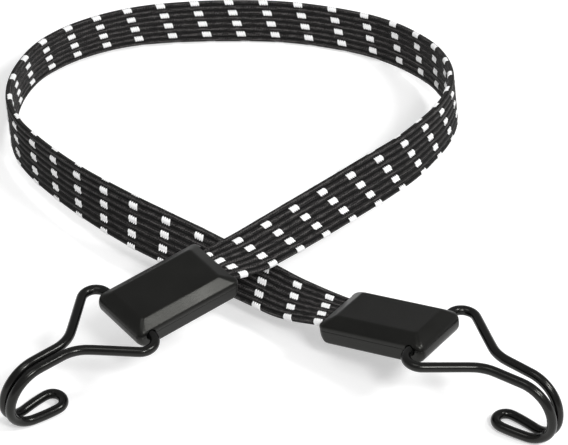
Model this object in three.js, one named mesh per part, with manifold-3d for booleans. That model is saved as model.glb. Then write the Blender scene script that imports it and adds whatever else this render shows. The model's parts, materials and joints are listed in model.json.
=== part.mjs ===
// A flat bungee cord with a moulded housing and a folding wire hook at each end.
// Lengths are in millimetres and +Z is up. The cord lies in a loop on the floor at z = 0.
// Its hooks hold both housings clear of the floor.
// The origin is on the floor, in the middle of the space that the two hooked ends take.

import * as THREE from "three";
import { mergeVertices } from "three/addons/utils/BufferGeometryUtils.js";
import Module from "manifold-3d";

const wasm = await Module();
wasm.setup();

// General clearances
const fit = 0.3;
const overrun = 1;

// Strap: a woven cover round a row of rubber cores
const strapWidth = 18;
const strapThick = 2.4;
const coreCount = 8;
const coverWall = 0.45;
const bindWidth = 0.5;
const edgeWall = 0.45;
const edgeRound = 0.7;
const strapSteps = 50;

// Housing, measured from the hook's pivot on the seam between its two shells
const housingWidth = 25.4;
const hookReach = 5;
const mouthReach = 38.4;
const topHeight = 4.9;
const baseDepth = 5.2;
const wallHeight = 1.8;
const bevelInset = 4.2;
const mouthInset = 6;
const cornerRound = 2;
const topRound = 1.2;
const baseChamfer = 0.8;
const cornerSteps = 5;

// Mouth of the housing, which flares so that the strap can lean
const slotMargin = 0.4;
const flareLength = 11;
const flareRise = 1.1;

// Steel clamp folded over the strap's end
const clampStart = 5.7;
const clampLength = 9.4;
const clampSheet = 0.8;
const clampMargin = 0.6;

// Pegs that locate the upper shell on the lower one
const pegRadius = 1.5;
const pegHeight = 2;
const pegAlong = 1;
const pegAcross = 4;
const pegSides = 16;

// Hook: one bent wire whose headed ends turn in the housing
const wireDiameter = 3.5;
const headDiameter = 5.2;
const headThick = 2;
const headInner = 8;
const armCorner = 24.2;
const armBend = 5;
const armLength = 24.5;
const meetBend = 13.5;
const shankLength = 14.2;
const outerBend = 13;
const innerBend = 8.5;
const tipLength = 13.3;
const strandGap = 0.2;
const loopHalf = 3.9;
const loopRun = 19.5;
const wireSides = 10;
const wireStep = 2;
const headSides = 16;

// Where each end's pivot stands on the floor plan, and half the distance between the two
// strands where the arms meet the shank
const leftPivotAcross = -52.6;
const leftPivotBack = 1.9;
const leftSplay = 2.1;
const rightPivotAcross = 50.2;
const rightPivotBack = -2.7;
const rightSplay = 4.15;

// How each end is turned, and its hook in it, in degrees
const leftTurnAngle = 39;
const leftPitchAngle = -4.4;
const leftRollAngle = 3.5;
const leftSwingAngle = 0.4;
const rightTurnAngle = 146.7;
const rightPitchAngle = 13.3;
const rightRollAngle = 2.8;
const rightSwingAngle = -14.9;

// The strap's free route from the left mouth round to the right one: x, y, z, then the lean
// in degrees, 0 with the strap flat and 90 with it on edge.
const strapRoute = [
  [-13, 34.8, 28, 18],
  [-3, 44.8, 27.5, 26],
  [6.5, 54.8, 27, 32],
  [16, 64.3, 27, 38],
  [35.5, 83.8, 27.5, 54],
  [44.5, 94.3, 27, 62],
  [52, 106.3, 26, 69],
  [58, 118.3, 24.5, 74],
  [62, 131.3, 23, 79],
  [63, 144.8, 20.5, 84],
  [61, 158.3, 17.5, 91],
  [56.5, 171.3, 15, 95],
  [49.5, 182.8, 12.5, 98],
  [40.5, 192.8, 10.5, 100],
  [28.5, 200.3, 9.5, 99],
  [2, 207.3, 9.2, 98],
  [-25.5, 207.8, 9.2, 98],
  [-53, 203.3, 10, 93],
  [-66, 198.8, 10.5, 90],
  [-78, 191.8, 11.2, 89],
  [-88.5, 182.8, 12, 89],
  [-97, 172.3, 12.5, 89],
  [-102.5, 159.3, 13, 91],
  [-105, 145.8, 13.5, 94],
  [-104.5, 131.8, 14, 94],
  [-101, 118.8, 14.5, 88],
  [-94, 106.8, 15, 81],
  [-76.5, 85.3, 16.5, 74],
  [-56, 66.8, 17, 60],
  [-44.5, 59.3, 16, 49],
  [-32.5, 51.8, 15, 39],
  [-21, 44.3, 14, 32],
  [-9, 37.3, 12.7, 27],
  [2.5, 29.8, 12, 18],
];

const woven = { color: 0x17171a, roughness: 0.9, metalness: 0 };
const rubber = { color: 0x8a7a5c, roughness: 0.8, metalness: 0 };
const moulded = { color: 0x1b1b1d, roughness: 0.45, metalness: 0 };
const steel = { color: 0xa9abae, roughness: 0.35, metalness: 1 };
const coatedWire = { color: 0x0d0d0f, roughness: 0.18, metalness: 0.2 };

// Sizes that follow from the ones above
const halfStrap = strapWidth / 2;
const halfThick = strapThick / 2;
const corePitch = (strapWidth - 2 * edgeWall) / coreCount;
const tunnelWidth = corePitch - bindWidth;
const tunnelHeight = strapThick - 2 * coverWall;
const halfHousing = housingWidth / 2;
const wireRadius = wireDiameter / 2;
const headRadius = headDiameter / 2;
const halfStrand = (wireDiameter + strandGap) / 2;
const clampEnd = clampStart + clampLength;
const clampHalf = halfThick + fit + clampSheet;
const clampWidth = strapWidth + 2 * clampMargin;
const strapStart = clampStart + clampSheet + fit;

function named(name, geometry, finish) {
  const mesh = new THREE.Mesh(geometry, new THREE.MeshStandardMaterial(finish));
  mesh.name = name;
  return mesh;
}

// Solids and cuts

function toSolid(source) {
  const bare = source.clone();
  bare.deleteAttribute("normal");
  bare.deleteAttribute("uv");
  const merged = mergeVertices(bare);
  return new wasm.Manifold(
    new wasm.Mesh({
      numProp: 3,
      vertProperties: new Float32Array(merged.attributes.position.array),
      triVerts: new Uint32Array(merged.index.array),
    }),
  );
}

function toGeometry(solid) {
  const mesh = solid.getMesh();
  const geometry = new THREE.BufferGeometry();
  geometry.setAttribute("position", new THREE.BufferAttribute(mesh.vertProperties, 3));
  geometry.setIndex(new THREE.BufferAttribute(mesh.triVerts, 1));
  geometry.computeVertexNormals();
  return geometry;
}

function shaped(body, added, removed) {
  let solid = toSolid(body);
  for (const piece of added) solid = solid.add(toSolid(piece));
  for (const piece of removed) solid = solid.subtract(toSolid(piece));
  return toGeometry(solid);
}

// A closed body through level rings of points, each anticlockwise from above, lowest first
function loft(rings) {
  const count = rings[0].length;
  const index = [];
  for (let level = 0; level < rings.length - 1; level += 1) {
    for (let i = 0; i < count; i += 1) {
      const a = level * count + i;
      const b = level * count + ((i + 1) % count);
      index.push(a, b, b + count, a, b + count, a + count);
    }
  }
  const top = (rings.length - 1) * count;
  for (let i = 1; i < count - 1; i += 1) {
    index.push(0, i + 1, i);
    index.push(top, top + i, top + i + 1);
  }
  const geometry = new THREE.BufferGeometry().setFromPoints(rings.flat());
  geometry.setIndex(index);
  geometry.computeVertexNormals();
  return geometry;
}

// A rectangle with rounded corners at one height
function planRing(xLow, xHigh, halfWidth, round, z) {
  const corners = [
    [xHigh - round, -halfWidth + round, -Math.PI / 2],
    [xHigh - round, halfWidth - round, 0],
    [xLow + round, halfWidth - round, Math.PI / 2],
    [xLow + round, -halfWidth + round, Math.PI],
  ];
  const ring = [];
  for (const [x, y, start] of corners) {
    for (let i = 0; i <= cornerSteps; i += 1) {
      const angle = start + (i / cornerSteps) * (Math.PI / 2);
      ring.push(new THREE.Vector3(x + round * Math.cos(angle), y + round * Math.sin(angle), z));
    }
  }
  return ring;
}

// A side view in x and z, as deep as width across the housing
function acrossBlock(outline, width) {
  const shape = new THREE.Shape(outline.map(([x, z]) => new THREE.Vector2(x, z)));
  const geometry = new THREE.ExtrudeGeometry(shape, { depth: width, bevelEnabled: false });
  geometry.rotateX(Math.PI / 2);
  geometry.translate(0, width / 2, 0);
  return geometry;
}

// A round bar along y between two places, on either side of the middle
function acrossBar(radius, inner, outer, sides, side) {
  const bar = new THREE.CylinderGeometry(radius, radius, outer - inner, sides);
  bar.translate(0, (side * (inner + outer)) / 2, 0);
  return bar;
}

function upright(radius, low, high, x, y) {
  const bar = new THREE.CylinderGeometry(radius, radius, high - low, pegSides);
  bar.rotateX(Math.PI / 2);
  bar.translate(x, y, (low + high) / 2);
  return bar;
}

// Housing

function housingCuts() {
  const slotHalf = halfThick + fit;
  const flareEnd = slotHalf + flareRise * (1 + overrun / flareLength);
  const mouthEnd = mouthReach + overrun;
  const slot = acrossBlock(
    [
      [clampEnd - overrun, -slotHalf],
      [mouthReach - flareLength, -slotHalf],
      [mouthEnd, -flareEnd],
      [mouthEnd, flareEnd],
      [mouthReach - flareLength, slotHalf],
      [clampEnd - overrun, slotHalf],
    ],
    strapWidth + 2 * slotMargin,
  );
  const pocketHalf = clampHalf + fit;
  const pocket = acrossBlock(
    [
      [clampStart - fit, -pocketHalf],
      [clampEnd + fit, -pocketHalf],
      [clampEnd + fit, pocketHalf],
      [clampStart - fit, pocketHalf],
    ],
    clampWidth + 2 * fit,
  );
  const pocketOuter = headInner + headThick + fit;
  const bores = [-1, 1].flatMap((side) => [
    acrossBar(headRadius + fit, headInner - fit, pocketOuter, headSides, side),
    acrossBar(wireRadius + fit, pocketOuter - fit, halfHousing + overrun, headSides, side),
  ]);
  return [slot, pocket, ...bores];
}

function pegs(radius, height) {
  return [-1, 1].map((side) => upright(radius, -overrun, height, pegAlong, side * pegAcross));
}

function upperShell() {
  const body = loft([
    planRing(-hookReach, mouthReach, halfHousing, cornerRound, fit / 2),
    planRing(-hookReach, mouthReach, halfHousing, cornerRound, wallHeight),
    planRing(bevelInset - hookReach, mouthReach - mouthInset, halfHousing - bevelInset, topRound, topHeight),
  ]);
  return shaped(body, [], [...housingCuts(), ...pegs(pegRadius + fit, pegHeight + fit)]);
}

function lowerShell() {
  const inner = baseChamfer;
  const body = loft([
    planRing(inner - hookReach, mouthReach - inner, halfHousing - inner, cornerRound - inner, -baseDepth),
    planRing(-hookReach, mouthReach, halfHousing, cornerRound, baseChamfer - baseDepth),
    planRing(-hookReach, mouthReach, halfHousing, cornerRound, -fit / 2),
  ]);
  return shaped(body, pegs(pegRadius, pegHeight), housingCuts());
}

function endClamp() {
  const inside = halfThick + fit;
  return acrossBlock(
    [
      [clampStart, -clampHalf],
      [clampEnd, -clampHalf],
      [clampEnd, -inside],
      [clampStart + clampSheet, -inside],
      [clampStart + clampSheet, inside],
      [clampEnd, inside],
      [clampEnd, clampHalf],
      [clampStart, clampHalf],
    ],
    clampWidth,
  );
}

// Hook

// Points round a bend of the given radius where two straight runs meet at a corner
function bendPoints(before, corner, after, radius) {
  const back = before.clone().sub(corner).normalize();
  const ahead = after.clone().sub(corner).normalize();
  const half = back.angleTo(ahead) / 2;
  const middle = back.clone().add(ahead).normalize();
  const centre = corner.clone().addScaledVector(middle, radius / Math.sin(half));
  const from = corner.clone().addScaledVector(back, radius / Math.tan(half)).sub(centre);
  const to = corner.clone().addScaledVector(ahead, radius / Math.tan(half)).sub(centre);
  const steps = Math.max(3, Math.round((radius * (Math.PI - 2 * half)) / wireStep));
  const points = [];
  for (let i = 0; i <= steps; i += 1) {
    const point = from.clone().lerp(to, i / steps).setLength(radius);
    points.push(point.add(centre));
  }
  return points;
}

// Half the distance between the two strands, this far along the hook from where the arms meet
function strandSpread(along, total, splay) {
  const loopStart = total - loopHalf - loopRun;
  if (along < loopStart) {
    return halfStrand + (splay - halfStrand) * Math.max(0, 1 - along / loopStart);
  }
  const widened = Math.min(1, (along - loopStart) / loopRun);
  const spread = halfStrand + ((loopHalf - halfStrand) * (1 - Math.cos(Math.PI * widened))) / 2;
  const past = Math.max(0, along - (total - loopHalf));
  return spread * Math.sqrt(Math.max(0, 1 - (past / loopHalf) ** 2));
}

// The hook's curve in the side view, from where the arms meet to the tip
function sideView(along) {
  const outerArc = (outerBend * Math.PI) / 2;
  const innerArc = (innerBend * Math.PI) / 2;
  const bendStart = armLength + shankLength;
  if (along <= shankLength) return [-armLength - along, 0];
  if (along <= shankLength + outerArc) {
    const angle = (along - shankLength) / outerBend;
    return [-bendStart - outerBend * Math.sin(angle), outerBend * (Math.cos(angle) - 1)];
  }
  if (along <= shankLength + outerArc + innerArc) {
    const angle = (along - shankLength - outerArc) / innerBend;
    const x = -bendStart - outerBend + innerBend * (1 - Math.cos(angle));
    return [x, -outerBend - innerBend * Math.sin(angle)];
  }
  const rest = along - shankLength - outerArc - innerArc;
  return [-bendStart - outerBend + innerBend + rest, -outerBend - innerBend];
}

// One strand's points, from its headed end to the tip
function strandPoints(splay) {
  const total = shankLength + ((outerBend + innerBend) * Math.PI) / 2 + tipLength;
  const hookPoint = (along) => {
    const [x, z] = sideView(along);
    return new THREE.Vector3(x, strandSpread(along, total, splay), z);
  };
  const inner = new THREE.Vector3(0, headInner + headThick / 2, 0);
  const corner = new THREE.Vector3(0, armCorner, 0);
  const meet = new THREE.Vector3(-armLength, splay, 0);
  const shank = hookPoint(shankLength / 2);
  const points = [inner, ...bendPoints(inner, corner, meet, armBend)];
  points.push(...bendPoints(corner, meet, shank, meetBend), shank);
  const loopRoom = total - loopHalf;
  const steps = Math.round((loopRoom - shankLength / 2) / wireStep);
  for (let i = 1; i <= steps; i += 1) {
    points.push(hookPoint(THREE.MathUtils.lerp(shankLength / 2, loopRoom, i / steps)));
  }
  const roundSteps = Math.round((loopHalf * Math.PI) / 2 / wireStep);
  for (let i = 1; i <= roundSteps; i += 1) {
    const angle = ((i / roundSteps) * Math.PI) / 2;
    points.push(hookPoint(loopRoom + loopHalf * Math.sin(angle)));
  }
  return points;
}

function circle(radius, sides) {
  const shape = new THREE.Shape();
  for (let i = 0; i < sides; i += 1) {
    const angle = (i / sides) * 2 * Math.PI;
    const place = [radius * Math.cos(angle), radius * Math.sin(angle)];
    if (i === 0) shape.moveTo(...place);
    else shape.lineTo(...place);
  }
  shape.closePath();
  return shape;
}

function hookWire(splay) {
  const half = strandPoints(splay);
  const mirrored = half.slice(0, -1).reverse();
  const points = [...half, ...mirrored.map((p) => new THREE.Vector3(p.x, -p.y, p.z))];
  const path = new THREE.CatmullRomCurve3(points, false, "centripetal");
  const steps = Math.round(path.getLength() / wireStep);
  const wire = new THREE.ExtrudeGeometry(circle(wireRadius, wireSides), { steps, extrudePath: path });
  const heads = [-1, 1].map((side) => {
    return acrossBar(headRadius, headInner, headInner + headThick, headSides, side);
  });
  return shaped(wire, heads, []);
}

// Strap

// A smooth route that also leans: its frames turn the strap's width by the lean at each place
class LeaningRoute extends THREE.CatmullRomCurve3 {
  constructor(stations) {
    super(stations.map((s) => s.point), false, "centripetal");
    this.lean = new THREE.SplineCurve(stations.map((s, i) => new THREE.Vector2(i, s.lean)));
  }

  acrossAt(u) {
    const tangent = this.getTangentAt(u);
    const lean = THREE.MathUtils.degToRad(this.lean.getPoint(this.getUtoTmapping(u)).y);
    const [right, down] = levelAxes(tangent);
    return right.multiplyScalar(Math.cos(lean)).addScaledVector(down, Math.sin(lean));
  }

  computeFrenetFrames(segments) {
    const frames = { tangents: [], normals: [], binormals: [] };
    for (let i = 0; i <= segments; i += 1) {
      const tangent = this.getTangentAt(i / segments);
      const across = this.acrossAt(i / segments);
      frames.tangents.push(tangent);
      frames.normals.push(across);
      frames.binormals.push(tangent.clone().cross(across));
    }
    return frames;
  }
}

// The level direction to the right of a tangent, and the direction down from it
function levelAxes(tangent) {
  const right = tangent.clone().cross(new THREE.Vector3(0, 0, 1)).normalize();
  return [right, tangent.clone().cross(right)];
}

// A place on the strap inside a housing, with the lean that the housing gives it there
function seated(end, along, heading) {
  const point = end.localToWorld(new THREE.Vector3(along, 0, 0));
  const tangent = new THREE.Vector3(heading, 0, 0).transformDirection(end.matrixWorld);
  const across = new THREE.Vector3(0, -heading, 0).transformDirection(end.matrixWorld);
  const [right, down] = levelAxes(tangent);
  const lean = THREE.MathUtils.radToDeg(Math.atan2(across.dot(down), across.dot(right)));
  return { point, lean };
}

function strapPath(left, right) {
  const inside = [strapStart, clampEnd, mouthReach - flareLength, mouthReach];
  return new LeaningRoute([
    ...inside.map((along) => seated(left, along, 1)),
    ...strapRoute.map(([x, y, z, lean]) => ({ point: new THREE.Vector3(x, y, z), lean })),
    ...inside.reverse().map((along) => seated(right, along, -1)),
  ]);
}

// Points of a section, carried along the strap in equal steps
function strapRings(section, path) {
  const frames = path.computeFrenetFrames(strapSteps);
  return path.getSpacedPoints(strapSteps).map((place, i) => {
    return section.map((p) => {
      const point = place.clone().addScaledVector(frames.normals[i], p.x);
      return point.addScaledVector(frames.binormals[i], p.y);
    });
  });
}

function coreMiddle(i) {
  return (i - (coreCount - 1) / 2) * corePitch;
}

// An upright oblong in the section, anticlockwise from its lower left corner
function oblong(middle, width, height) {
  return [
    new THREE.Vector2(middle - width / 2, -height / 2),
    new THREE.Vector2(middle + width / 2, -height / 2),
    new THREE.Vector2(middle + width / 2, height / 2),
    new THREE.Vector2(middle - width / 2, height / 2),
  ];
}

// The cover's outline, three points to a corner, anticlockwise from the right edge
function coverOutline() {
  const outline = [];
  for (let i = 0; i < 12; i += 1) {
    const corner = Math.floor(i / 3);
    const sideX = corner === 0 || corner === 3 ? 1 : -1;
    const sideY = corner < 2 ? 1 : -1;
    const angle = (corner + (i % 3) / 2) * (Math.PI / 2);
    const x = sideX * (halfStrap - edgeRound) + edgeRound * Math.cos(angle);
    const y = sideY * (halfThick - edgeRound) + edgeRound * Math.sin(angle);
    outline.push(new THREE.Vector2(x, y));
  }
  return outline;
}

// The triangles of the cover's end face, between its outline and the tunnels' mouths
function coverEndFaces(outlineCount) {
  const tunnel = (i, corner) => outlineCount + 4 * i + corner;
  const last = coreCount - 1;
  const above = [];
  const below = [];
  for (let i = 0; i < coreCount; i += 1) {
    above.push(tunnel(i, 3), tunnel(i, 2));
    below.push(tunnel(last - i, 1), tunnel(last - i, 0));
  }
  const faces = [];
  for (const [chain, near, far] of [[above, 2, 3], [below, 8, 9]]) {
    for (let i = 0; i < chain.length - 1; i += 1) faces.push([chain[i], chain[i + 1], far]);
    faces.push([chain[chain.length - 1], near, far]);
  }
  for (let i = 0; i < last; i += 1) {
    faces.push([tunnel(i, 1), tunnel(i + 1, 0), tunnel(i + 1, 3)]);
    faces.push([tunnel(i, 1), tunnel(i + 1, 3), tunnel(i, 2)]);
  }
  const ends = [
    [tunnel(last, 1), tunnel(last, 2), 9],
    [tunnel(0, 3), tunnel(0, 0), 3],
  ];
  for (const [inner, outer, start] of ends) {
    const next = (start + 3) % outlineCount;
    faces.push([inner, start, start + 1], [inner, start + 1, start + 2], [inner, start + 2, next]);
    faces.push([inner, next, outer], [outer, next, next + 1], [outer, next + 1, next + 2]);
  }
  return faces;
}

function coverGeometry(path) {
  const outline = coverOutline();
  const section = [...outline];
  for (let i = 0; i < coreCount; i += 1) {
    section.push(...oblong(coreMiddle(i), tunnelWidth, tunnelHeight));
  }
  const size = section.length;
  const index = [];
  const wall = (start, count, inward) => {
    for (let step = 0; step < strapSteps; step += 1) {
      for (let i = 0; i < count; i += 1) {
        const a = step * size + start + i;
        const b = step * size + start + ((i + 1) % count);
        if (inward) index.push(b, a, a + size, b, a + size, b + size);
        else index.push(a, b, b + size, a, b + size, a + size);
      }
    }
  };
  wall(0, outline.length, false);
  for (let i = 0; i < coreCount; i += 1) wall(outline.length + 4 * i, 4, true);
  for (const [a, b, c] of coverEndFaces(outline.length)) {
    index.push(a, c, b);
    index.push(...[a, b, c].map((corner) => corner + strapSteps * size));
  }
  const geometry = new THREE.BufferGeometry().setFromPoints(strapRings(section, path).flat());
  geometry.setIndex(index);
  geometry.computeVertexNormals();
  return geometry;
}

function strapPieces(path) {
  const pieces = [named("strap_jacket", coverGeometry(path), woven)];
  for (let i = 0; i < coreCount; i += 1) {
    const section = oblong(coreMiddle(i), tunnelWidth - 2 * fit, tunnelHeight - 2 * fit);
    pieces.push(named(`rubber_core_${i + 1}`, loft(strapRings(section, path)), rubber));
  }
  return pieces;
}

// One hooked end, standing on its hook. angles are its roll, pitch and turn.
function hookedEnd(side, pivotAcross, pivotBack, splay, angles, swingAngle) {
  const end = new THREE.Group();
  end.rotation.set(...angles.map((angle) => THREE.MathUtils.degToRad(angle)), "ZYX");
  end.position.set(pivotAcross, pivotBack, 0);
  const hook = named(`${side}_hook`, hookWire(splay), coatedWire);
  hook.rotation.y = THREE.MathUtils.degToRad(swingAngle);
  end.add(
    named(`${side}_upper_shell`, upperShell(), moulded),
    named(`${side}_lower_shell`, lowerShell(), moulded),
    named(`${side}_end_clamp`, endClamp(), steel),
    hook,
  );
  end.updateMatrixWorld(true);
  end.position.z = -new THREE.Box3().setFromObject(hook, true).min.z;
  end.updateMatrixWorld(true);
  return end;
}

const leftAngles = [leftRollAngle, leftPitchAngle, leftTurnAngle];
const rightAngles = [rightRollAngle, rightPitchAngle, rightTurnAngle];
const left = hookedEnd("left", leftPivotAcross, leftPivotBack, leftSplay, leftAngles, leftSwingAngle);
const right = hookedEnd("right", rightPivotAcross, rightPivotBack, rightSplay, rightAngles, rightSwingAngle);
const group = new THREE.Group();
group.add(left, right, ...strapPieces(strapPath(left, right)));

export default group;
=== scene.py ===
import json
import math

import bmesh
import bpy
import numpy as np
from mathutils import Matrix, Vector


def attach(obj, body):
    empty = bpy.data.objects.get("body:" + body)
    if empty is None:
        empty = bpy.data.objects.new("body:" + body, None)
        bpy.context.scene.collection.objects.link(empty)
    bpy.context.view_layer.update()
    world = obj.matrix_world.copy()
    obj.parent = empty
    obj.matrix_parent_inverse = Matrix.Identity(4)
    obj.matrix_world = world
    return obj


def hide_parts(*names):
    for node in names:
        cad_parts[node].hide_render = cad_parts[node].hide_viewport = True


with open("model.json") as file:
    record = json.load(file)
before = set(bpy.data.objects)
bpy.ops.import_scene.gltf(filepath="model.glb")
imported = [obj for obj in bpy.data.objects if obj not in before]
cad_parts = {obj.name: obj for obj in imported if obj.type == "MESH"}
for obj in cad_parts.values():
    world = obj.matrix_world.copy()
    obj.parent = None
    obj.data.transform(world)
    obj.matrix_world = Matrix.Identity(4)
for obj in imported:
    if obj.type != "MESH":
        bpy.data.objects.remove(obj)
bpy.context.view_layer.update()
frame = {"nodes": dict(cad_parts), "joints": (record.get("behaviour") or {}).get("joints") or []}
MM = 0.001

# Camera: its angles in degrees, its lens and sensor in millimetres
CAMERA_PLACE = (-0.00027, -0.78948, 0.68185)
CAMERA_TILT = 52.172
CAMERA_ROLL = 1.122
CAMERA_LENS = 189.95
CAMERA_NEAR = 0.01
SENSOR_WIDTH = 36

# Strap: ribs side by side, with one float of yarn to each pick of the weave
STRAP_WIDTH = 18 * MM
COVER_MARGIN = 1.2 * MM
RIB_COUNT = 8
RIB_HEIGHT = 1.2 * MM
RIB_POINTS = 8
GROOVE_HEIGHT = 0.66 * MM
GROOVE_POWER = 2.4
COLUMN_PITCH = 13.847 * MM
PICKS_PER_COLUMN = 14
PICK = COLUMN_PITCH / PICKS_PER_COLUMN
PICK_RELIEF = 0.045 * MM

# White dashes: columns along the strap, and rows that are shifted from rib to rib. The rows at
# the strap's edges are pulled towards their faces, and the lower one wraps round its edge.
FIRST_COLUMN = -0.85 * MM
COLUMN_COUNT = 42
ROW_SHIFT = 0.125 * COLUMN_PITCH
INNER_SHIFT = -0.105 * COLUMN_PITCH
TOP_PULL = 0.15 * MM
BOTTOM_PULL = 0.35 * MM
BOTTOM_WRAP = 1 * MM
DASH_MARGIN = 6 * MM
DASH_THREADS = 4
DASH_HALF = 1.42 * MM

# The threads of a dash: flattened tubes that taper towards their ends. The ends sink into the
# weave, and the last three values are shares of the thread's rise and width there.
THREAD_PITCH = 0.88 * MM
THREAD_WIDTH = 0.94 * MM
THREAD_RISE = 0.2 * MM
THREAD_SLANT = 0.3
THREAD_STAGGER = 0.03 * MM
THREAD_STATIONS = 11
THREAD_SIDES = 12
THREAD_SQUARENESS = 0.6
THREAD_TAPER = 2.2
THREAD_SINK = 0.45
THREAD_END_WIDTH = 0.05
THREAD_END_RISE = 0.3

# Rubber cores
CORE_PITCH = 2.1375 * MM
CORE_WIDTH = 1.04 * MM
CORE_HEIGHT = 0.9 * MM
CORE_MARGIN = 2.4 * MM
CORE_STEP = 1.5 * MM
CORE_SIDES = 12

# Housing, measured from the hook's pivot
HOUSING_HALF = 12.7 * MM
HOOK_REACH = 5 * MM
MOUTH_REACH = 38.4 * MM
TOP_HEIGHT = 4.9 * MM
BASE_DEPTH = 5.2 * MM
WALL_HEIGHT = 1.8 * MM
BEVEL_INSET = 4.2 * MM
MOUTH_INSET = 6 * MM
TOP_INSET = 1.6 * BEVEL_INSET
BASE_INSET = 1.2 * BEVEL_INSET
CORNER_ROUND = 2.4 * MM
TOP_ROUND = 1.1 * MM
EDGE_ROUND = 1.9 * MM
SEAM_GAP = 0.05 * MM
SEAM_CHAMFER = 0.08 * MM
BASE_CHAMFER = 0.8 * MM
HOOK_END_POWER = 1.7
BASE_HOOK_ROUND = 2.6 * MM
BASE_MOUTH_ROUND = 1.8 * MM
BASE_ROUND_POWER = 3.5
CORNER_STEPS = 8
PROFILE_STEPS = 5
PROFILE_STEP = 0.7 * MM

# What is cut from the housing: the strap's slot, flared at the mouth, and the pins' bores
SLOT_START = 17 * MM
SLOT_HALF_WIDTH = 9.4 * MM
SLOT_HALF_HEIGHT = 1.5 * MM
FLARE_LENGTH = 11 * MM
FLARE_RISE = 1.1 * MM
CUT_MARGIN = 1 * MM
WIRE_PLAY = 0.3 * MM
BORE_SIDES = 40

# Hook wire, with an upset head on each pin
WIRE_RADIUS = 1.75 * MM
WIRE_SIDES = 28
WIRE_STEP = 0.5 * MM
HEAD_RADIUS = 2.6 * MM
HEAD_THICK = 2 * MM
HEAD_EDGE = 0.25 * MM
HEAD_LIP = 0.05 * MM
HEAD_INNER = 8 * MM
ARM_CORNER = 24.2 * MM
ARM_BEND = 5 * MM
ARM_LENGTH = 24.5 * MM
MEET_BEND = 13.5 * MM
SHANK_LENGTH = 14.2 * MM
OUTER_BEND = 13 * MM
INNER_BEND = 8.5 * MM
TIP_LENGTH = 13.3 * MM
HALF_STRAND = 1.85 * MM
LOOP_HALF = 3.9 * MM
LOOP_RUN = 19.5 * MM

# Points to each bend and stretch of a centreline
ROUTE_SPAN_POINTS = 60
WIRE_SPAN_POINTS = 14
ARM_BEND_POINTS = 9
MEET_BEND_POINTS = 5
HOOK_POINTS = 36
TIP_POINTS = 6

# Angles in degrees above which an edge is shaded sharp
SHELL_SHARP = 28
CORE_SHARP = 50
WIRE_SHARP = 60

# Weave of the black yarn: its coordinates are in mm along and round the strap, and the shares
# are what each of its parts adds to its shade and to its relief
CROWN_POWER = 1.7
YARN_SLANT = 0.35
PLIES = 3
STREAK_STRETCH = (0.3, 1.6, 1)
STREAK_SPAN = (0.38, 0.66)
GRAIN_SPAN = (0.36, 0.66)
# The grooves keep this share of the crowns' lighter tone: the crowns are a painted highlight and
# the grooves a painted shade.
PAINTED_GROOVE_LIGHT = 0.15
LIGHT_SHARES = {"streaks": 0.5, "grain": 0.5, "picks": 0.06, "plies": 0.1}
RELIEF_SHARES = {"yarn": 0.22, "plies": 0.1, "grain": 1}

# Studio
WORLD_STRENGTH = 0.42
FLOOR_SIZE = 30
FLOOR_DROP = 0.2 * MM
FLOOR_GLOW = 0.42
FAR_FLOOR_GLOW = 0.7
NEAR_FLOOR = 0.15
FAR_FLOOR = 0.9
WALL_REACH = 11
WALL_TALL = 1.05
WALL_SIDES = 96

# Lamps: each one's place, its target, its size and its power in watts
LAMPS = {
    "key": ((0.69, -0.19, 0.87), (0, 0.05, 0.02), 0.24, 5.5),
    "spark": ((0.32, -0.76, 0.86), (0, 0.02, 0.02), 0.2, 5.6),
    "overhead": ((-0.25, -0.3, 1.15), (0, 0.05, 0.02), 0.4, 1.7),
}

# How each end is turned, in degrees: turn, pitch, roll, then its hook's swing; and the
# hook's splay where its arms meet the shank
ENDS = {
    "left": {"turn": 39, "pitch": -4.4, "roll": 3.5, "swing": 0.4, "splay": 2.1 * MM},
    "right": {"turn": 146.7, "pitch": 13.3, "roll": 2.8, "swing": -14.9, "splay": 4.15 * MM},
}

# Where the strap runs inside a housing, measured from the pivot
STRAP_SEATS = (6.8 * MM, 15.1 * MM, 27.4 * MM, 38.4 * MM)

# The strap's free route from the left mouth to the right one: x, y, z, then its lean in
# degrees, 0 with the strap flat and 90 with it on edge
STRAP_ROUTE = [
    (-0.013, 0.0348, 0.028, 18),
    (-0.003, 0.0448, 0.0275, 26),
    (0.0065, 0.0548, 0.027, 32),
    (0.016, 0.0643, 0.027, 38),
    (0.0355, 0.0838, 0.0275, 54),
    (0.0445, 0.0943, 0.027, 62),
    (0.052, 0.1063, 0.026, 69),
    (0.058, 0.1183, 0.0245, 74),
    (0.062, 0.1313, 0.023, 79),
    (0.063, 0.1448, 0.0205, 84),
    (0.061, 0.1583, 0.0175, 91),
    (0.0565, 0.1713, 0.015, 95),
    (0.0495, 0.1828, 0.0125, 98),
    (0.0405, 0.1928, 0.0105, 100),
    (0.0285, 0.2003, 0.0095, 99),
    (0.002, 0.2073, 0.0092, 98),
    (-0.0255, 0.2078, 0.0092, 98),
    (-0.053, 0.2033, 0.01, 93),
    (-0.066, 0.1988, 0.0105, 90),
    (-0.078, 0.1918, 0.0112, 89),
    (-0.0885, 0.1828, 0.012, 89),
    (-0.097, 0.1723, 0.0125, 89),
    (-0.1025, 0.1593, 0.013, 91),
    (-0.105, 0.1458, 0.0135, 94),
    (-0.1045, 0.1318, 0.014, 94),
    (-0.101, 0.1188, 0.0145, 88),
    (-0.094, 0.1068, 0.015, 81),
    (-0.0765, 0.0853, 0.0165, 74),
    (-0.056, 0.0668, 0.017, 60),
    (-0.0445, 0.0593, 0.016, 49),
    (-0.0325, 0.0518, 0.015, 39),
    (-0.021, 0.0443, 0.014, 32),
    (-0.009, 0.0373, 0.0127, 27),
    (0.0025, 0.0298, 0.012, 18),
]


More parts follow.
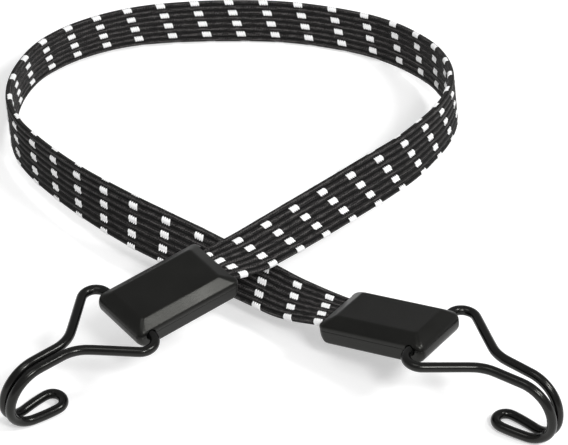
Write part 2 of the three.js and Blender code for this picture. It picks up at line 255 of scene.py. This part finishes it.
# Camera, which comes first
def make_camera():
    data = bpy.data.cameras.new("camera")
    data.sensor_width = SENSOR_WIDTH
    data.lens = CAMERA_LENS
    data.clip_start = CAMERA_NEAR
    camera = bpy.data.objects.new("camera", data)
    camera.location = CAMERA_PLACE
    turn = Matrix.Rotation(math.radians(CAMERA_TILT), 4, "X")
    roll = Matrix.Rotation(math.radians(CAMERA_ROLL), 4, "Z")
    camera.rotation_euler = (turn @ roll).to_euler()
    bpy.context.scene.collection.objects.link(camera)
    bpy.context.scene.camera = camera


# Arrays of points
def unit(vectors):
    """The same directions at length 1."""
    return vectors / np.linalg.norm(vectors, axis=-1, keepdims=True)


def run_lengths(points):
    """The length run along a polyline at each of its points."""
    return np.concatenate([[0], np.cumsum(np.linalg.norm(np.diff(points, axis=0), axis=1))])


def read_columns(places, known, table):
    """Each column of a table, whose rows stand at the known places, read at other places."""
    return np.stack([np.interp(places, known, column) for column in table.T], -1)


def full_turn(sides):
    """The angles of a ring's points, once round."""
    return np.arange(sides) * 2 * np.pi / sides


def placed(matrix, points):
    """The points, moved by a matrix."""
    m = np.array(matrix)
    return np.asarray(points) @ m[:3, :3].T + m[:3, 3]


def hermite(b, c, start, stop, w):
    """A cubic from b to c with these slopes at its ends, at the shares w of the way."""
    cubic = (2 * b - 2 * c + start + stop) * w**3
    return cubic + (3 * c - 3 * b - 2 * start - stop) * w**2 + start * w + b


def spline(stations, span_points):
    """Points and leans along a centripetal spline through stations of x, y, z and lean."""
    p = np.array([s[:3] for s in stations])
    lean = np.array([s[3] for s in stations], float)
    ends = np.vstack([2 * p[0] - p[1], p, 2 * p[-1] - p[-2]])
    lean_ends = np.concatenate([lean[:1], lean, lean[-1:]])
    w = np.linspace(0, 1, span_points, endpoint=False)[:, None]
    points, leans = [], []
    for i in range(len(p) - 1):
        a, b, c, d = ends[i : i + 4]
        before, along, after = (math.sqrt(np.linalg.norm(step)) for step in (b - a, c - b, d - c))
        start = ((b - a) / before - (c - a) / (before + along) + (c - b) / along) * along
        stop = ((c - b) / along - (d - b) / (along + after) + (d - c) / after) * along
        points.append(hermite(b, c, start, stop, w))
        a, b, c, d = lean_ends[i : i + 4]
        leans.append(hermite(b, c, (c - a) / 2, (d - b) / 2, w[:, 0]))
    return np.vstack([*points, p[-1:]]), np.concatenate([*leans, lean[-1:]])


# Meshes
def tube_faces(rings, count):
    """Quads that join rings of count points, one after the other, and a polygon at each end."""
    ring, step = np.meshgrid(np.arange(rings - 1), np.arange(count), indexing="ij")
    a = ring * count + step
    b = ring * count + (step + 1) % count
    quads = np.stack([a, b, b + count, a + count], -1).reshape(-1, 4).tolist()
    last = (rings - 1) * count
    return [*quads, list(range(count))[::-1], [last + i for i in range(count)]]


def link_mesh(name, points, faces):
    """A new object in the scene, from its points and faces."""
    mesh = bpy.data.meshes.new(name)
    mesh.from_pydata([tuple(p) for p in points], [], faces)
    piece = bpy.data.objects.new(name, mesh)
    bpy.context.scene.collection.objects.link(piece)
    return piece


def add_piece(name, points, faces, body, material):
    """A piece of the shown model, which rides on a body."""
    piece = link_mesh(name, points, faces)
    piece.data.validate()
    piece.data.materials.append(material)
    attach(piece, body)
    return piece


def smooth(piece, angle=None):
    """Smooth shading, with edges above the angle kept sharp."""
    piece.data.shade_smooth()
    if angle is not None:
        piece.data.set_sharp_from_angle(angle=math.radians(angle))


# Strap
def end_frame(side):
    """The frame of one end, at its hook's pivot: x to the mouth, y across, z up."""
    joint = next(j for j in frame["joints"] if j["name"] == f"{side}_hook_pivot")
    end = ENDS[side]
    turn = Matrix.Rotation(math.radians(end["turn"]), 4, "Z")
    pitch = Matrix.Rotation(math.radians(end["pitch"]), 4, "Y")
    roll = Matrix.Rotation(math.radians(end["roll"]), 4, "X")
    return Matrix.Translation(joint["pos_m"]) @ turn @ pitch @ roll


def level_axes(tangent):
    """The level direction across a tangent, and the one square to both."""
    right = unit(np.cross(tangent, (0, 0, 1)))
    return right, np.cross(tangent, right)


def seat_stations(side, heading):
    """The strap's stations in a housing; the heading is 1 where it runs out of the mouth."""
    m = np.array(end_frame(side))
    right, down = level_axes(m[:3, 0] * heading)
    across = -m[:3, 1] * heading
    lean = math.degrees(math.atan2(across @ down, across @ right))
    seats = [(*(m[:3, 3] + m[:3, 0] * x), lean) for x in STRAP_SEATS]
    return seats if heading > 0 else seats[::-1]


class Route:
    """The strap's centreline and its directions at any length from the left mouth."""

    def __init__(self):
        left, right = seat_stations("left", 1), seat_stations("right", -1)
        points, leans = spline([*left, *STRAP_ROUTE, *right], ROUTE_SPAN_POINTS)
        length = run_lengths(points)
        mouths = (left[-1][:3], right[0][:3])
        start, stop = (length[np.linalg.norm(points - p, axis=1).argmin()] for p in mouths)
        self.along = length - start
        self.right_mouth = stop - start
        self.points = points
        tangents = unit(np.gradient(points, length, axis=0))
        level, down = level_axes(tangents)
        angle = np.radians(leans)[:, None]
        self.across = level * np.cos(angle) + down * np.sin(angle)
        self.inner = np.cross(tangents, self.across)

    def at(self, along, across, inner):
        """Points at these lengths along, and these distances across and to the inner side."""
        along, across, inner = np.broadcast_arrays(along, across, inner)
        tables = (self.points, self.across, self.inner)
        centre, sideways, inward = (read_columns(along, self.along, table) for table in tables)
        return centre + sideways * across[..., None] + inward * inner[..., None]


class Section:
    """The strap's outline, once round from its top edge along the outer face and back along
    the inner one: each point's place, its rib and its share of the way from crown to groove."""

    def __init__(self):
        half = STRAP_WIDTH / RIB_COUNT / 2
        face = []
        for rib in range(RIB_COUNT):
            middle = (rib - (RIB_COUNT - 1) / 2) * 2 * half
            for i in range(RIB_POINTS):
                u = 2 * (i + 0.5) / RIB_POINTS - 1
                if (rib == 0 and u < 0) or (rib == RIB_COUNT - 1 and u > 0):
                    height = RIB_HEIGHT * math.sqrt(1 - u * u)
                else:
                    height = RIB_HEIGHT - (RIB_HEIGHT - GROOVE_HEIGHT) * abs(u) ** GROOVE_POWER
                face.append((middle + half * u, -height, rib, abs(u)))
        face = np.array(face)
        outline = np.vstack([face, face[::-1] * (1, -1, 1, 1)])
        self.place, self.rib, self.share = outline[:, :2], outline[:, 2], outline[:, 3]
        step = np.roll(self.place, -1, 0) - np.roll(self.place, 1, 0)
        self.normal = unit(np.stack([step[:, 1], -step[:, 0]], -1))
        self.closed_place = np.vstack([self.place, self.place[:1]])
        self.closed_normal = np.vstack([self.normal, self.normal[:1]])
        self.round = run_lengths(self.closed_place)
        self.length = self.round[-1]
        self.rib_round = self.length / 2 / RIB_COUNT

    def at(self, lengths):
        """Places and normals at these lengths round the outline."""
        lengths = np.mod(lengths, self.length)
        tables = (self.closed_place, self.closed_normal)
        return [read_columns(lengths, self.round, table) for table in tables]


def build_strap(route, section, material):
    """The woven cover, and its centreline. Its UV map gives lengths along and round it in mm."""
    start, stop = route.along[0] + COVER_MARGIN, route.along[-1] - COVER_MARGIN
    steps = int(round((stop - start) / (PICK / 2)))
    along = np.linspace(start, stop, steps + 1)
    pick = np.cos(np.pi * along[:, None] / (PICK / 2) + np.pi * section.rib)
    relief = PICK_RELIEF * pick * (1 - section.share**2)
    spots = section.place + relief[..., None] * section.normal
    points = route.at(along[:, None], spots[..., 0], spots[..., 1]).reshape(-1, 3)
    count = len(section.place)
    faces = tube_faces(len(along), count)
    strap = add_piece("woven_cover", points, faces, "cord_body", material)
    uv = strap.data.uv_layers.new(name="UVMap")
    corners = np.empty(len(strap.data.loops), np.int32)
    strap.data.loops.foreach_get("vertex_index", corners)
    coords = np.stack([along[corners // count], section.round[corners % count]], -1) / MM
    uv.data.foreach_set("uv", coords.astype(np.float32).ravel())
    smooth(strap)
    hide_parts("strap_jacket")
    return strap, route.at(along, 0, 0)


def dash_rows(section):
    """Each row of dashes, on every second rib of each face: the length round the section at
    its middle, its shift along the strap, and its wrap."""
    rows = []
    for k in range(2, RIB_COUNT + 1, 2):
        pull, wrap = (BOTTOM_PULL, BOTTOM_WRAP) if k == RIB_COUNT else (0, 0)
        rows.append(((k - 0.5) * section.rib_round - pull, ROW_SHIFT * (k - 2) / 2, wrap))
    for k in range(1, RIB_COUNT, 2):
        pull = TOP_PULL if k == 1 else 0
        middle = section.length - (k - 0.5) * section.rib_round - pull
        rows.append((middle, INNER_SHIFT - ROW_SHIFT * (k - 1) / 2, 0))
    return rows


def build_dashes(route, section, material):
    """Short floats of white thread, laid over the ribs in slanting rows on both faces."""
    w = np.linspace(-1, 1, THREAD_STATIONS)
    taper = np.sqrt(np.clip(1 - np.abs(w) ** THREAD_TAPER, 0, 1))[:, None]
    turn = full_turn(THREAD_SIDES)
    flat_cos, flat_sin = (
        np.sign(wave) * np.abs(wave) ** THREAD_SQUARENESS for wave in (np.cos(turn), np.sin(turn))
    )
    half_width = THREAD_WIDTH / 2 * (THREAD_END_WIDTH + (1 - THREAD_END_WIDTH) * taper)
    half_rise = THREAD_RISE * (THREAD_END_RISE + (1 - THREAD_END_RISE) * taper)
    rise = (THREAD_RISE * (taper - THREAD_SINK) + half_rise * flat_sin)[..., None]
    thread_faces = tube_faces(THREAD_STATIONS, THREAD_SIDES)
    points, faces = [], []
    for middle, shift, wrap in dash_rows(section):
        for column in range(COLUMN_COUNT):
            for thread in range(DASH_THREADS):
                centre = FIRST_COLUMN + column * COLUMN_PITCH + shift
                centre += (thread - (DASH_THREADS - 1) / 2) * THREAD_PITCH
                if not -DASH_MARGIN < centre < route.right_mouth + DASH_MARGIN:
                    continue
                stagger = THREAD_STAGGER * (-1) ** thread
                place, normal = section.at(middle + DASH_HALF * w + stagger + wrap * (1 + w) / 2)
                spots = place[:, None] + normal[:, None] * rise
                along = (centre + THREAD_SLANT * DASH_HALF * w)[:, None] + half_width * flat_cos
                first = len(points) * THREAD_STATIONS * THREAD_SIDES
                points.append(route.at(along, spots[..., 0], spots[..., 1]).reshape(-1, 3))
                faces += [[first + i for i in face] for face in thread_faces]
    points = np.vstack(points)
    dashes = add_piece("white_dashes", points, faces, "cord_body", material)
    smooth(dashes)
    return dashes


def build_cores(route, material):
    """One round core under each rib."""
    start, stop = route.along[0] + CORE_MARGIN, route.along[-1] - CORE_MARGIN
    along = np.linspace(start, stop, int((stop - start) / CORE_STEP))[:, None]
    faces = tube_faces(len(along), CORE_SIDES)
    turn = full_turn(CORE_SIDES)
    cores = []
    for i in range(RIB_COUNT):
        middle = (i - (RIB_COUNT - 1) / 2) * CORE_PITCH
        across = middle + CORE_WIDTH / 2 * np.cos(turn)
        points = route.at(along, across, CORE_HEIGHT / 2 * np.sin(turn)).reshape(-1, 3)
        name = f"latex_core_{i + 1}"
        core = add_piece(name, points, faces, "cord_body", material)
        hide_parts(f"rubber_core_{i + 1}")
        smooth(core, CORE_SHARP)
        cores.append(core)
    return cores


# Housing
def plan_ring(low, high, half, radius, z):
    """A rectangle with rounded corners, from x low to high and half to each side, at z."""
    corners = (
        (high - radius, -half + radius, -90),
        (high - radius, half - radius, 0),
        (low + radius, half - radius, 90),
        (low + radius, -half + radius, 180),
    )
    ring = []
    for x, y, start in corners:
        for i in range(CORNER_STEPS + 1):
            angle = math.radians(start + 90 * i / CORNER_STEPS)
            ring.append((x + radius * math.cos(angle), y + radius * math.sin(angle), z))
    return ring


def rounded_profile(corners, radius):
    """A polyline whose inner corners give way to curves of about this radius."""
    points = [np.array(corners[0])]
    for before, corner, after in zip(corners, corners[1:], corners[2:]):
        before, corner, after = (np.array(p, float) for p in (before, corner, after))
        back, ahead = before - corner, after - corner
        half = math.acos(np.clip(unit(back) @ unit(ahead), -1, 1)) / 2
        most = min(np.linalg.norm(back), np.linalg.norm(ahead)) / 2
        reach = min(radius / math.tan(half), most)
        for t in np.linspace(0, 1, PROFILE_STEPS + 1):
            start, stop = corner + unit(back) * reach * (1 - t), corner + unit(ahead) * reach * t
            points.append(start + (stop - start) * t)
    points.append(np.array(corners[-1]))
    return points


def finer(profile):
    """The same profile with more points along its straight stretches."""
    points = [profile[0]]
    for start, stop in zip(profile, profile[1:]):
        parts = max(1, int(np.linalg.norm(stop - start) / PROFILE_STEP))
        points += [start + (stop - start) * i / parts for i in range(1, parts + 1)]
    return points


def shell_rings(profile, upper):
    """Rings up a shell's side, from points of an inset and a height. The upper half's end at
    the hook is one soft round, and both ends of the lower half are drawn in at its base."""
    rings = []
    for inset, z in profile:
        share = inset / BEVEL_INSET
        radius = CORNER_ROUND + (TOP_ROUND - CORNER_ROUND) * share
        if upper:
            end, mouth = BEVEL_INSET * (z / TOP_HEIGHT) ** HOOK_END_POWER, 0
        else:
            sweep = (z / BASE_DEPTH) ** BASE_ROUND_POWER
            end, mouth = BASE_HOOK_ROUND * sweep, BASE_MOUTH_ROUND * sweep
        low = -HOOK_REACH + max(inset, end)
        high = MOUTH_REACH - max(MOUTH_INSET * share, mouth)
        half = HOUSING_HALF - BEVEL_INSET * share
        rings.append(plan_ring(low, high, half, radius, z if upper else -z))
    return rings


def add_cutter(name, points, faces):
    """A loose solid that cuts a shell, with its faces turned outwards."""
    piece = link_mesh(name, points, faces)
    made = bmesh.new()
    made.from_mesh(piece.data)
    bmesh.ops.recalc_face_normals(made, faces=made.faces)
    made.to_mesh(piece.data)
    made.free()
    return piece


def strap_slot(matrix):
    """The strap's way through a housing, flared at the mouth."""
    stations = (
        (SLOT_START, SLOT_HALF_HEIGHT),
        (MOUTH_REACH - FLARE_LENGTH, SLOT_HALF_HEIGHT),
        (MOUTH_REACH + CUT_MARGIN, SLOT_HALF_HEIGHT + FLARE_RISE),
    )
    corners = ((-1, -1), (1, -1), (1, 1), (-1, 1))
    points = [(x, y * SLOT_HALF_WIDTH, z * half) for x, half in stations for y, z in corners]
    return add_cutter("slot", placed(matrix, points), tube_faces(len(stations), len(corners)))


def wire_bore(matrix, sign):
    """The bore round one pin of the hook, with the wider pocket round its head."""
    bore, pocket = WIRE_RADIUS + WIRE_PLAY, HEAD_RADIUS + WIRE_PLAY
    start, step = HEAD_INNER - WIRE_PLAY, HEAD_INNER + HEAD_THICK + WIRE_PLAY
    stations = ((start, pocket), (step, pocket), (step, bore), (HOUSING_HALF + CUT_MARGIN, bore))
    points = []
    for y, radius in stations:
        for angle in full_turn(BORE_SIDES):
            points.append((radius * math.cos(angle), sign * y, radius * math.sin(angle)))
    return add_cutter("bore", placed(matrix, points), tube_faces(len(stations), BORE_SIDES))


def build_shell(side, upper, material):
    """One half of a housing, from its seam up or down, with the slot and the bores cut out."""
    matrix = end_frame(side)
    corners = [(SEAM_CHAMFER, SEAM_GAP / 2), (0, SEAM_GAP / 2 + SEAM_CHAMFER)]
    if upper:
        rounding = EDGE_ROUND
        corners += [(0, WALL_HEIGHT), (BEVEL_INSET, TOP_HEIGHT), (TOP_INSET, TOP_HEIGHT)]
    else:
        rounding = BASE_CHAMFER
        corners += [(0, BASE_DEPTH - BASE_CHAMFER), (BASE_CHAMFER, BASE_DEPTH)]
        corners += [(BASE_INSET, BASE_DEPTH)]
    rings = shell_rings(finer(rounded_profile(corners, rounding)), upper)
    points = placed(matrix, np.array(rings).reshape(-1, 3))
    faces = tube_faces(len(rings), len(rings[0]))
    if not upper:
        faces = [face[::-1] for face in faces]
    which = "upper" if upper else "lower"
    shell = add_piece(f"{side}_{which}_half", points, faces, "cord_body", material)
    bpy.context.view_layer.objects.active = shell
    for hollow in (strap_slot(matrix), wire_bore(matrix, 1), wire_bore(matrix, -1)):
        cut = shell.modifiers.new("cut", "BOOLEAN")
        cut.operation = "DIFFERENCE"
        cut.solver = "EXACT"
        cut.object = hollow
        bpy.ops.object.modifier_apply(modifier=cut.name)
        bpy.data.objects.remove(hollow)
    smooth(shell, SHELL_SHARP)
    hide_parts(f"{side}_{which}_shell")


# Hook
def bend_points(before, corner, after, radius, steps):
    """Points round an arc of the radius that takes the place of a corner."""
    back, ahead = unit(before - corner), unit(after - corner)
    half = math.acos(np.clip(back @ ahead, -1, 1)) / 2
    centre = corner + unit(back + ahead) * radius / math.sin(half)
    start = corner + back * radius / math.tan(half) - centre
    stop = corner + ahead * radius / math.tan(half) - centre
    return [centre + unit(start + (stop - start) * t) * radius for t in np.linspace(0, 1, steps)]


def strand_points(splay):
    """One strand's centreline, from its headed end to the tip, in its hook's own frame."""
    outer_arc, inner_arc = OUTER_BEND * math.pi / 2, INNER_BEND * math.pi / 2
    total = SHANK_LENGTH + outer_arc + inner_arc + TIP_LENGTH
    loop_start, loop_end = total - LOOP_HALF - LOOP_RUN, total - LOOP_HALF

    def side_view(along):
        bend_start = -ARM_LENGTH - SHANK_LENGTH
        if along <= SHANK_LENGTH:
            return -ARM_LENGTH - along, 0.0
        if along <= SHANK_LENGTH + outer_arc:
            angle = (along - SHANK_LENGTH) / OUTER_BEND
            return bend_start - OUTER_BEND * math.sin(angle), OUTER_BEND * (math.cos(angle) - 1)
        if along <= SHANK_LENGTH + outer_arc + inner_arc:
            angle = (along - SHANK_LENGTH - outer_arc) / INNER_BEND
            x = bend_start - OUTER_BEND + INNER_BEND * (1 - math.cos(angle))
            return x, -OUTER_BEND - INNER_BEND * math.sin(angle)
        rest = along - SHANK_LENGTH - outer_arc - inner_arc
        return bend_start - OUTER_BEND + INNER_BEND + rest, -OUTER_BEND - INNER_BEND

    def spread(along):
        if along < loop_start:
            return HALF_STRAND + (splay - HALF_STRAND) * max(0, 1 - along / loop_start)
        widened = min(1, (along - loop_start) / LOOP_RUN)
        width = HALF_STRAND + (LOOP_HALF - HALF_STRAND) * (1 - math.cos(math.pi * widened)) / 2
        past = max(0, along - loop_end)
        return width * math.sqrt(max(0, 1 - (past / LOOP_HALF) ** 2))

    def hook_point(along):
        x, z = side_view(along)
        return np.array((x, spread(along), z))

    inner = np.array((0, HEAD_INNER, 0))
    corner = np.array((0, ARM_CORNER, 0))
    meet = np.array((-ARM_LENGTH, splay, 0))
    shank = hook_point(SHANK_LENGTH / 2)
    points = [inner, *bend_points(inner, corner, meet, ARM_BEND, ARM_BEND_POINTS)]
    points += bend_points(corner, meet, shank, MEET_BEND, MEET_BEND_POINTS)
    points += [hook_point(a) for a in np.linspace(SHANK_LENGTH / 2, loop_end, HOOK_POINTS)]
    turns = np.linspace(0, math.pi / 2, TIP_POINTS)[1:]
    return points + [hook_point(loop_end + LOOP_HALF * math.sin(t)) for t in turns]


def wire_tube(centres, radii):
    """Rings of a round wire, kept from twisting along its centreline."""
    turn = full_turn(WIRE_SIDES)[:, None]
    tangents = unit(np.gradient(centres, axis=0))
    normal = np.cross(tangents[0], (0, 0, 1))
    rings = []
    for centre, tangent, radius in zip(centres, tangents, radii):
        normal = unit(normal - tangent * (normal @ tangent))
        spokes = np.cos(turn) * normal + np.sin(turn) * np.cross(tangent, normal)
        rings.append(centre + radius * spokes)
    return np.array(rings)


def build_hook(side, material):
    """One length of wire: a strand out to the tip and its mirror image back, headed at both
    ends."""
    end = ENDS[side]
    half = strand_points(end["splay"])
    mirrored = [p * (1, -1, 1) for p in half[-2::-1]]
    points, _ = spline([(*p, 0) for p in [*half, *mirrored]], WIRE_SPAN_POINTS)
    length = run_lengths(points)
    total = length[-1]
    head = np.array((0, HEAD_EDGE, HEAD_THICK - HEAD_EDGE, HEAD_THICK, HEAD_THICK + HEAD_LIP))
    edge_radius = HEAD_RADIUS - HEAD_EDGE
    head_radii = (edge_radius, HEAD_RADIUS, HEAD_RADIUS, edge_radius, WIRE_RADIUS)
    bare = head[-1] + WIRE_STEP
    rest = np.linspace(bare, total - bare, int(total / WIRE_STEP))
    along = np.concatenate([head, rest, total - head[::-1]])
    radii = np.concatenate([head_radii, np.full(len(rest), WIRE_RADIUS), head_radii[::-1]])
    rings = wire_tube(read_columns(along, length, points), radii)
    swing = Matrix.Rotation(math.radians(end["swing"]), 4, "Y")
    points = placed(end_frame(side) @ swing, rings.reshape(-1, 3))
    faces = tube_faces(len(along), WIRE_SIDES)
    name, body = f"{side}_wire_hook", f"{side}_hook_body"
    hook = add_piece(name, points, faces, body, material)
    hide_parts(f"{side}_hook")
    smooth(hook, WIRE_SHARP)


# Materials
class Look:
    """A material, and the nodes that feed its shader."""

    def __init__(self, name):
        self.material = bpy.data.materials.new(name)
        self.material.use_nodes = True
        self.nodes = self.material.node_tree.nodes
        self.links = self.material.node_tree.links
        self.shader = self.nodes["Principled BSDF"].inputs

    def set(self, **values):
        """Constants on the shader's own sockets, with _ for each space in a socket's name."""
        for name, value in values.items():
            self.shader[name.replace("_", " ")].default_value = value

    def coordinates(self, kind):
        return self.nodes.new("ShaderNodeTexCoord").outputs[kind]

    def calc(self, operation, *values):
        """The result of one operation on numbers and on other nodes' outputs."""
        made = self.nodes.new("ShaderNodeMath")
        made.operation = operation
        for value, socket in zip(values, made.inputs):
            if isinstance(value, (int, float)):
                socket.default_value = value
            else:
                self.links.new(value, socket)
        return made.outputs[0]

    def sine(self, source, scale, shift=0.0):
        """A sine wave along one coordinate, from -1 to 1."""
        return self.calc("SINE", self.calc("MULTIPLY_ADD", source, scale, shift))

    def blend(self, shares, **values):
        """The sum of the values, each times its share."""
        total = 0.0
        for name, share in shares.items():
            total = self.calc("MULTIPLY_ADD", values[name], share, total)
        return total

    def noise(self, place, scale, detail, roughness=0.5):
        made = self.nodes.new("ShaderNodeTexNoise")
        for name, value in (("Scale", scale), ("Detail", detail), ("Roughness", roughness)):
            made.inputs[name].default_value = value
        self.links.new(place, made.inputs["Vector"])
        return made.outputs["Fac"]

    def span(self, source, low, high, to_low=0.0, to_high=1.0):
        """The source, with its span from low to high moved to another one and kept in it."""
        made = self.nodes.new("ShaderNodeMapRange")
        names = ("From Min", "From Max", "To Min", "To Max")
        for name, value in zip(names, (low, high, to_low, to_high)):
            made.inputs[name].default_value = value
        self.links.new(source, made.inputs["Value"])
        return made.outputs[0]

    def colour(self, source, *stops):
        """A base colour that follows the source, by stops of a value and a colour."""
        made = self.nodes.new("ShaderNodeValToRGB")
        elements = made.color_ramp.elements
        while len(elements) < len(stops):
            elements.new(0.5)
        for element, (place, colour) in zip(elements, stops):
            element.position = place
            element.color = (*colour, 1)
        self.links.new(source, made.inputs[0])
        self.links.new(made.outputs[0], self.shader["Base Color"])

    def roughness(self, source, low, high):
        """A roughness that follows the source, from low at 0 to high at 1."""
        self.links.new(self.span(source, 0, 1, low, high), self.shader["Roughness"])

    def bump(self, source, strength, distance):
        made = self.nodes.new("ShaderNodeBump")
        made.inputs["Strength"].default_value = strength
        made.inputs["Distance"].default_value = distance
        self.links.new(source, made.inputs["Height"])
        self.links.new(made.outputs[0], self.shader["Normal"])

    def seen(self):
        """1 for camera, glossy and transmission rays, and 0 for the rest."""
        path = self.nodes.new("ShaderNodeLightPath").outputs
        seen_or_glossy = self.calc("MAXIMUM", path["Is Camera Ray"], path["Is Glossy Ray"])
        return self.calc("MAXIMUM", seen_or_glossy, path["Is Transmission Ray"])


def fabric_material(rib_round):
    """Black yarn, one float to a pick: lighter streaks along the ribs' crowns as painted
    highlight, painted shade in the grooves.
    """
    look = Look("black_weave")
    place = look.coordinates("UV")
    split = look.nodes.new("ShaderNodeSeparateXYZ")
    look.links.new(place, split.inputs[0])
    along, across = split.outputs["X"], split.outputs["Y"]
    rib_wave = look.calc("ABSOLUTE", look.sine(across, math.pi / rib_round))
    crown = look.calc("POWER", rib_wave, CROWN_POWER)
    slanted = look.calc("MULTIPLY_ADD", across, YARN_SLANT, along)
    picks = look.sine(slanted, 2 * math.pi / (PICK / MM))
    plies = look.sine(across, 2 * PLIES * math.pi / rib_round, -math.pi / 2)
    stretch = look.nodes.new("ShaderNodeMapping")
    stretch.inputs["Scale"].default_value = STREAK_STRETCH
    look.links.new(place, stretch.inputs["Vector"])
    streaks = look.noise(stretch.outputs[0], scale=1, detail=5, roughness=0.7)
    streaks = look.span(streaks, *STREAK_SPAN)
    grain = look.span(look.noise(place, scale=2.4, detail=2, roughness=0.8), *GRAIN_SPAN)
    light = look.blend(LIGHT_SHARES, streaks=streaks, grain=grain, picks=picks, plies=plies)
    # Painted highlight and painted shade: the colour is lighter on the ribs' crowns and darker in
    # their grooves.
    painted_crown_light = look.calc("MULTIPLY_ADD", crown, 1 - PAINTED_GROOVE_LIGHT, PAINTED_GROOVE_LIGHT)
    look.colour(
        look.calc("MULTIPLY", painted_crown_light, light),
        (0.08, (0.002, 0.0019, 0.0019)),
        (0.3, (0.016, 0.0152, 0.0151)),
        (0.75, (0.1, 0.095, 0.094)),
    )
    yarn = look.calc("MULTIPLY", picks, crown)
    relief = look.blend(RELIEF_SHARES, yarn=yarn, plies=plies, grain=grain)
    look.bump(relief, strength=0.7, distance=0.16 * MM)
    look.set(Roughness=0.6, Specular_IOR_Level=0.14)
    return look.material


def white_material():
    look = Look("white_yarn")
    noise = look.noise(look.coordinates("Object"), scale=2600, detail=3)
    look.colour(noise, (0.25, (0.88, 0.88, 0.88)), (0.6, (0.95, 0.95, 0.95)))
    look.bump(noise, strength=0.4, distance=0.08 * MM)
    look.set(Roughness=0.7, Sheen_Weight=0.2)
    return look.material


def plastic_material():
    look = Look("satin_plastic")
    place = look.coordinates("Object")
    cloud = look.noise(place, scale=90, detail=4)
    look.colour(cloud, (0.3, (0.0035, 0.0035, 0.0033)), (0.75, (0.006, 0.006, 0.0056)))
    look.roughness(cloud, 0.3, 0.4)
    look.bump(look.noise(place, scale=1800, detail=2), strength=0.25, distance=0.05 * MM)
    look.set(Specular_IOR_Level=0.25, Specular_Tint=(1, 1, 0.94, 1))
    return look.material


def wire_material():
    look = Look("coated_wire")
    drift = look.noise(look.coordinates("Object"), scale=160, detail=3)
    look.colour(drift, (0.3, (0.002, 0.002, 0.002)), (0.8, (0.004, 0.004, 0.004)))
    look.roughness(drift, 0.18, 0.27)
    look.bump(drift, strength=0.15, distance=0.2 * MM)
    look.set(Specular_IOR_Level=0.3, Specular_Tint=(1, 1, 0.95, 1))
    return look.material


def latex_material():
    look = Look("latex")
    noise = look.noise(look.coordinates("Object"), scale=400, detail=3)
    look.colour(noise, (0.3, (0.42, 0.34, 0.22)), (0.7, (0.52, 0.44, 0.3)))
    look.set(Roughness=0.75)
    return look.material


def steel_material():
    look = Look("plated_steel")
    look.roughness(look.noise(look.coordinates("Object"), scale=700, detail=4), 0.25, 0.45)
    look.set(Base_Color=(0.6, 0.6, 0.62, 1), Metallic=1)
    return look.material


# Floor, backdrop, world and lamps
def stage_last_made(name, look):
    """Names and paints what Blender has just made, as part of the stage."""
    piece = bpy.context.object
    piece.name = name
    piece.data.materials.append(look.material)


def make_floor():
    """A pale floor that glows more with its distance, so that it ends on white."""
    look = Look("floor")
    look.set(Base_Color=(0.75, 0.75, 0.75, 1), Roughness=0.9, Specular_IOR_Level=0)
    look.set(Emission_Color=(1, 1, 1, 1))
    reach = look.nodes.new("ShaderNodeVectorMath")
    reach.operation = "LENGTH"
    look.links.new(look.coordinates("Object"), reach.inputs[0])
    distance = reach.outputs["Value"]
    glow = look.span(distance, NEAR_FLOOR, FAR_FLOOR, FLOOR_GLOW, FAR_FLOOR_GLOW)
    look.links.new(look.calc("MULTIPLY", look.seen(), glow), look.shader["Emission Strength"])
    bpy.ops.mesh.primitive_plane_add(size=FLOOR_SIZE, location=(0, 0, -FLOOR_DROP))
    stage_last_made("floor", look)


def make_backdrop():
    """A low white wall all round, so that views from the side end on white too."""
    look = Look("backdrop")
    look.set(Base_Color=(0, 0, 0, 1), Specular_IOR_Level=0, Emission_Color=(1, 1, 1, 1))
    glow = look.span(look.seen(), 0, 1, to_low=WORLD_STRENGTH)
    look.links.new(glow, look.shader["Emission Strength"])
    bpy.ops.mesh.primitive_cylinder_add(
        vertices=WALL_SIDES,
        radius=WALL_REACH,
        depth=WALL_TALL,
        end_fill_type="NOTHING",
        location=(0, 0, WALL_TALL / 2),
    )
    stage_last_made("backdrop", look)


def make_world():
    world = bpy.data.worlds.new("world")
    bpy.context.scene.world = world
    world.use_nodes = True
    background = world.node_tree.nodes["Background"]
    background.inputs["Color"].default_value = (1, 1, 1, 1)
    background.inputs["Strength"].default_value = WORLD_STRENGTH


def add_lamp(name, place, target, size, power):
    """A square lamp that shines from its place towards a target."""
    data = bpy.data.lights.new(name, "AREA")
    data.shape = "SQUARE"
    data.size = size
    data.energy = power
    lamp = bpy.data.objects.new(name, data)
    lamp.location = place
    aim = Vector(target) - Vector(place)
    lamp.rotation_euler = aim.to_track_quat("-Z", "Y").to_euler()
    bpy.context.scene.collection.objects.link(lamp)


make_camera()
route = Route()
section = Section()
fabric = fabric_material(section.rib_round / MM)
strap, centres = build_strap(route, section, fabric)
dashes = build_dashes(route, section, white_material())
cores = build_cores(route, latex_material())
tuple(route.at(-FLARE_LENGTH / 2, 0, 0))

plastic, wire, steel = plastic_material(), wire_material(), steel_material()
for side in ENDS:
    for upper in (True, False):
        build_shell(side, upper, plastic)
    build_hook(side, wire)
    clamp = frame["nodes"][f"{side}_end_clamp"]
    clamp.data.materials.clear()
    clamp.data.materials.append(steel)

make_floor()
make_backdrop()
make_world()
for name, lamp in LAMPS.items():
    add_lamp(name, *lamp)

bpy.context.scene.view_settings.view_transform = "Standard"
